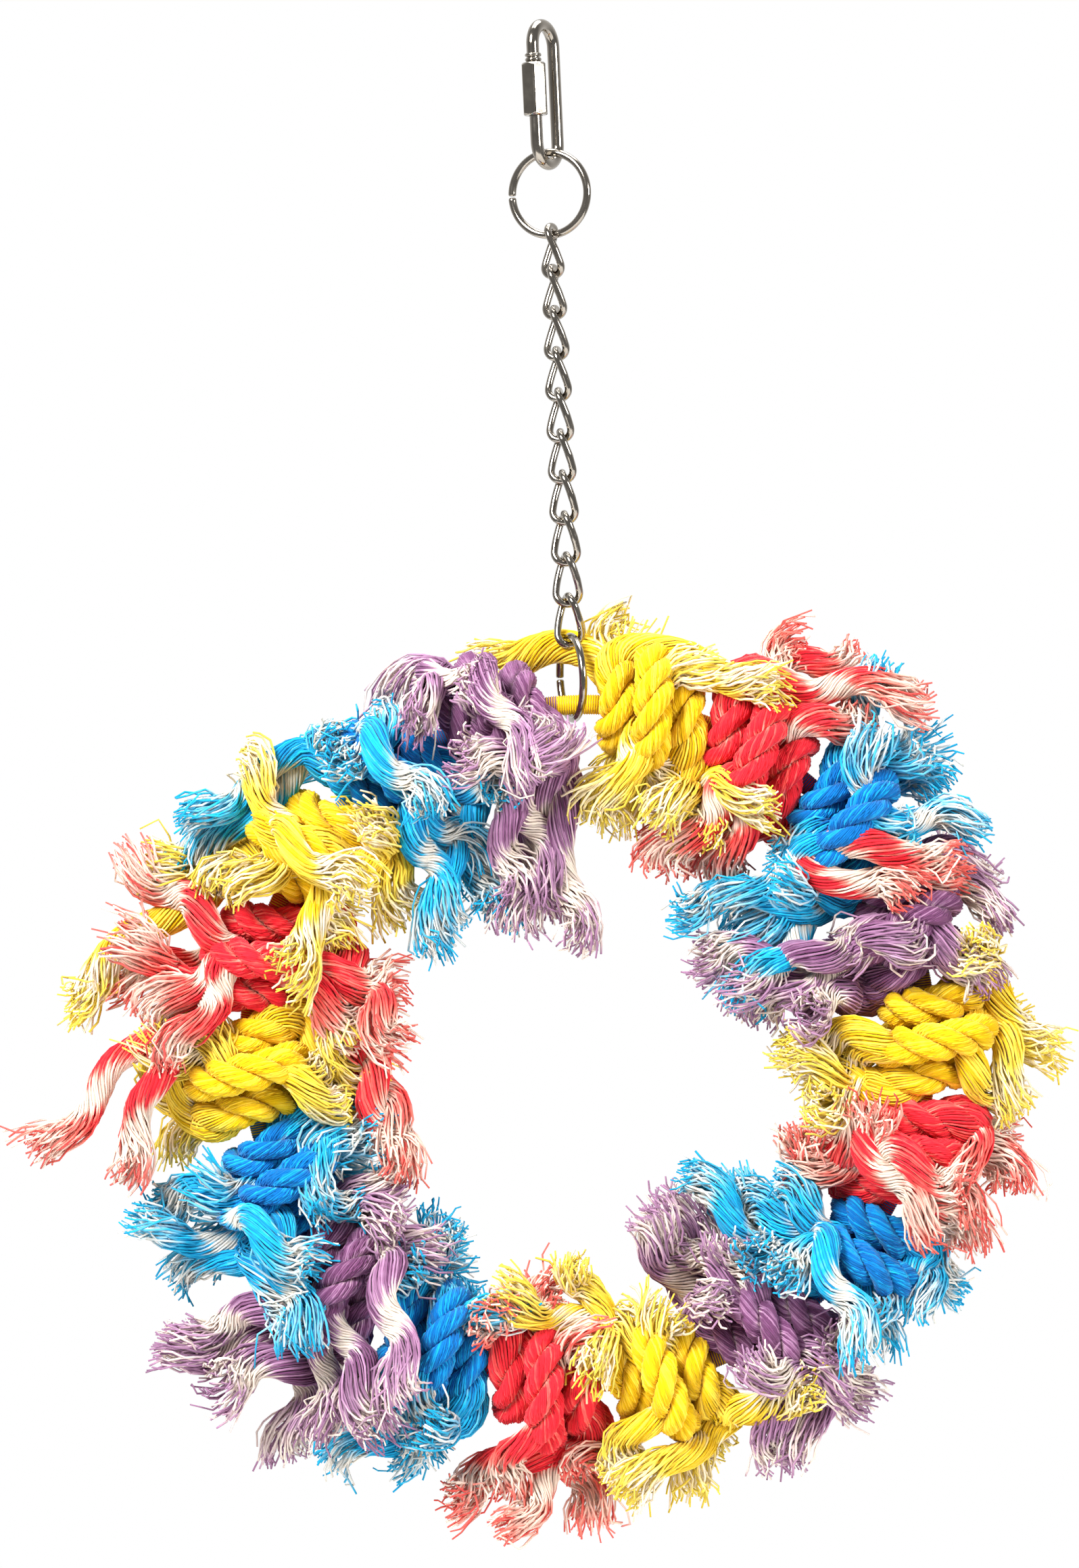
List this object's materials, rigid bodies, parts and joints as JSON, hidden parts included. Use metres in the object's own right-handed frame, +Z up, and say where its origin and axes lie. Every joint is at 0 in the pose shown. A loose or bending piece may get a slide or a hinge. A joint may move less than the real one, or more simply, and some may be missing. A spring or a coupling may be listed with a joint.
{
  "type": "bird rope ring",
  "caption": "Hanging ring perch for a bird cage: knotted soft rope lengths with frayed tails on a round core, hung by a twisted chain and rings from a screw-lock quick link.",
  "frame": {"origin": "inside of the quick link's upper bend, where it hangs on a cage bar", "axes": "+Z up, front of the rope ring towards -Y, ring in the XZ plane"},
  "size_m": [0.2839, 0.0374, 0.4302],
  "materials": {
    "nickel_steel": "polished nickel plate, slightly warm",
    "core_steel": "plain wire, hidden by the rope",
    "yellow_rope": "soft laid cotton rope, frayed",
    "red_rope": "soft laid cotton rope, frayed",
    "blue_rope": "soft laid cotton rope, frayed",
    "purple_rope": "soft laid cotton rope, frayed"
  },
  "bodies": {
    "quick_link": {"quick_link": "nickel_steel"},
    "quick_link_nut": {"quick_link_nut": "nickel_steel"},
    "top_ring": {"top_ring": "nickel_steel"},
    "chain_link_01": {"chain_link_01": "nickel_steel"},
    "chain_link_02": {"chain_link_02": "nickel_steel"},
    "chain_link_03": {"chain_link_03": "nickel_steel"},
    "chain_link_04": {"chain_link_04": "nickel_steel"},
    "chain_link_05": {"chain_link_05": "nickel_steel"},
    "chain_link_06": {"chain_link_06": "nickel_steel"},
    "chain_link_07": {"chain_link_07": "nickel_steel"},
    "chain_link_08": {"chain_link_08": "nickel_steel"},
    "chain_link_09": {"chain_link_09": "nickel_steel"},
    "chain_link_10": {"chain_link_10": "nickel_steel"},
    "hanging_ring": {"hanging_ring": "nickel_steel"},
    "rope_ring": {"core_ring": "core_steel", "knot_01_yellow": "yellow_rope", "knot_02_red": "red_rope", "knot_03_blue": "blue_rope", "knot_04_purple": "purple_rope", "knot_05_yellow": "yellow_rope", "knot_06_red": "red_rope", "knot_07_blue": "blue_rope", "knot_08_purple": "purple_rope", "knot_09_yellow": "yellow_rope", "knot_10_red": "red_rope", "knot_11_blue": "blue_rope", "knot_12_purple": "purple_rope", "knot_13_blue": "blue_rope", "knot_14_yellow": "yellow_rope", "knot_15_red": "red_rope", "knot_16_yellow": "yellow_rope", "knot_17_blue": "blue_rope", "knot_18_purple": "purple_rope"}
  },
  "joints": [
    {"name": "nut_travel", "type": "slide", "parent": "quick_link", "child": "quick_link_nut", "axis": [0, 0, -1], "range_m": [0, 0.007]},
    {"name": "top_ring_swing", "type": "hinge", "parent": "quick_link", "child": "top_ring", "pos_m": [0, 0, -0.0336], "axis": [0.9063, -0.4226, 0], "range_deg": [-18, 18]},
    {"name": "chain_link_01_swing", "type": "hinge", "parent": "top_ring", "child": "chain_link_01", "pos_m": [0, 0, -0.05407], "axis": [-0.5, -0.866, 0], "range_deg": [-18, 18]},
    {"name": "chain_link_02_swing", "type": "hinge", "parent": "chain_link_01", "child": "chain_link_02", "pos_m": [0, 0, -0.06782], "axis": [0.866, -0.5, 0], "range_deg": [-18, 18]},
    {"name": "chain_link_03_swing", "type": "hinge", "parent": "chain_link_02", "child": "chain_link_03", "pos_m": [0, 0, -0.07687], "axis": [-0.3529, -0.9356, 0], "range_deg": [-18, 18]},
    {"name": "chain_link_04_swing", "type": "hinge", "parent": "chain_link_03", "child": "chain_link_04", "pos_m": [0, 0, -0.09062], "axis": [0.9356, -0.3529, 0], "range_deg": [-18, 18]},
    {"name": "chain_link_05_swing", "type": "hinge", "parent": "chain_link_04", "child": "chain_link_05", "pos_m": [0, 0, -0.09967], "axis": [-0.1965, -0.9805, 0], "range_deg": [-18, 18]},
    {"name": "chain_link_06_swing", "type": "hinge", "parent": "chain_link_05", "child": "chain_link_06", "pos_m": [0, 0, -0.11342], "axis": [0.9805, -0.1965, 0], "range_deg": [-18, 18]},
    {"name": "chain_link_07_swing", "type": "hinge", "parent": "chain_link_06", "child": "chain_link_07", "pos_m": [0, 0, -0.12248], "axis": [-0.0349, -0.9994, 0], "range_deg": [-18, 18]},
    {"name": "chain_link_08_swing", "type": "hinge", "parent": "chain_link_07", "child": "chain_link_08", "pos_m": [0, 0, -0.13623], "axis": [0.9994, -0.0349, 0], "range_deg": [-18, 18]},
    {"name": "chain_link_09_swing", "type": "hinge", "parent": "chain_link_08", "child": "chain_link_09", "pos_m": [0, 0, -0.14527], "axis": [0.1276, -0.9918, 0], "range_deg": [-18, 18]},
    {"name": "chain_link_10_swing", "type": "hinge", "parent": "chain_link_09", "child": "chain_link_10", "pos_m": [0, 0, -0.15902], "axis": [0.9918, 0.1276, 0], "range_deg": [-18, 18]},
    {"name": "hanging_ring_swing", "type": "hinge", "parent": "chain_link_10", "child": "hanging_ring", "pos_m": [0, 0, -0.168], "axis": [0.2756, -0.9613, 0], "range_deg": [-18, 18]},
    {"name": "rope_ring_swing", "type": "hinge", "parent": "hanging_ring", "child": "rope_ring", "pos_m": [0, 0, -0.187], "axis": [1, 0, 0], "range_deg": [-60, 60]}
  ]
}
